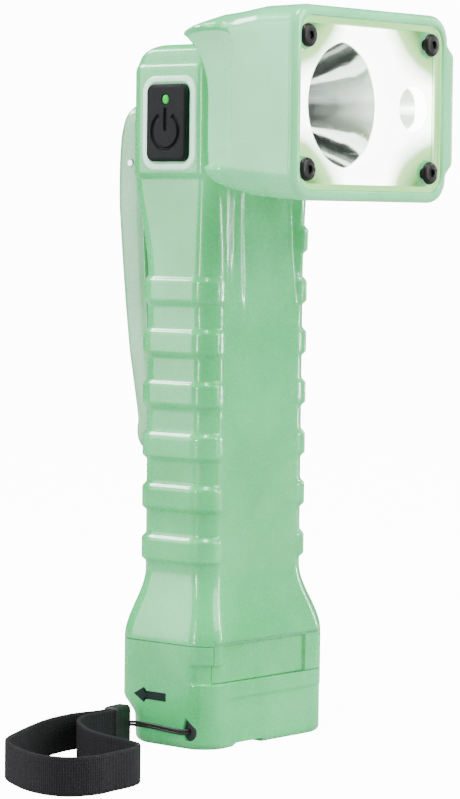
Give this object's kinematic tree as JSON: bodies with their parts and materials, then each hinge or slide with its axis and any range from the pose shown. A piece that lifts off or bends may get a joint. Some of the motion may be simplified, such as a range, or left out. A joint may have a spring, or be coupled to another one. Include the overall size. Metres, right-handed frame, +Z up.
{
  "type": "right angle flashlight",
  "caption": "Hand-held right-angle flashlight with ribbed translucent handle, tilting square head, side button, rear clip, sliding base cap and wrist lanyard.",
  "frame": {"origin": "centre of the handle, on the flat underside of the base cap", "axes": "+Z up along the handle, beam toward -Y, button on the -X side, clip on the +Y side"},
  "size_m": [0.1372, 0.084, 0.1997],
  "materials": {
    "glow_plastic": "satin, lets light through",
    "dark_plastic": "matt",
    "cell_jacket": "printed jacket, satin",
    "contact_metal": "plated",
    "spring_steel": "bright",
    "board_green": "solder mask",
    "pale_plastic": "satin",
    "black_rubber": "matt",
    "signal_green": "lit",
    "sink_metal": "milled",
    "white_plastic": "matt white",
    "emitter": "lit",
    "reflector": "metallised",
    "clear_window": "polished clear plastic",
    "black_steel": "black coated",
    "magnet": "plated",
    "webbing": "ribbed webbing"
  },
  "bodies": {
    "handle": {"handle_shell": "glow_plastic", "battery_tray": "dark_plastic", "battery_cells": "cell_jacket", "top_contacts": "contact_metal", "contact_springs": "spring_steel", "driver_board": "board_green", "board_parts": "dark_plastic", "button_frame": "pale_plastic", "tact_switch": "dark_plastic", "door_gasket": "black_rubber"},
    "button": {"button_cap": "black_rubber", "indicator_lens": "signal_green"},
    "head": {"head_shell": "glow_plastic", "pivot_pins": "spring_steel", "friction_washers": "spring_steel", "heat_sink": "sink_metal", "led_board": "white_plastic", "spot_led": "emitter", "flood_led": "emitter", "spot_reflector": "reflector", "flood_reflector": "reflector", "mask_plate": "white_plastic", "lens_gasket": "pale_plastic", "lens": "clear_window", "lens_screws": "black_steel"},
    "clip": {"clip": "glow_plastic", "clip_pin": "spring_steel", "clip_spring": "spring_steel", "clip_magnet": "magnet"},
    "door": {"battery_door": "glow_plastic", "door_contact": "contact_metal", "lanyard_cord": "webbing", "lanyard_sleeve": "webbing", "lanyard_strap": "webbing"}
  },
  "joints": [
    {"name": "head_tilt", "type": "hinge", "parent": "handle", "child": "head", "pos_m": [0, 0.001, 0.176], "axis": [1, 0, 0], "range_deg": [-90, 0]},
    {"name": "button_press", "type": "slide", "parent": "handle", "child": "button", "axis": [1, 0, 0], "range_m": [0, 0.0012], "stiffness_N_per_m": 2000},
    {"name": "clip_swing", "type": "hinge", "parent": "handle", "child": "clip", "pos_m": [0, 0.0266, 0.1591], "axis": [1, 0, 0], "range_deg": [0, 20], "stiffness_Nm_per_rad": 0.6, "springref_deg": -20.05},
    {"name": "door_slide", "type": "slide", "parent": "handle", "child": "door", "axis": [0, 1, 0], "range_m": [0, 0.026]}
  ]
}
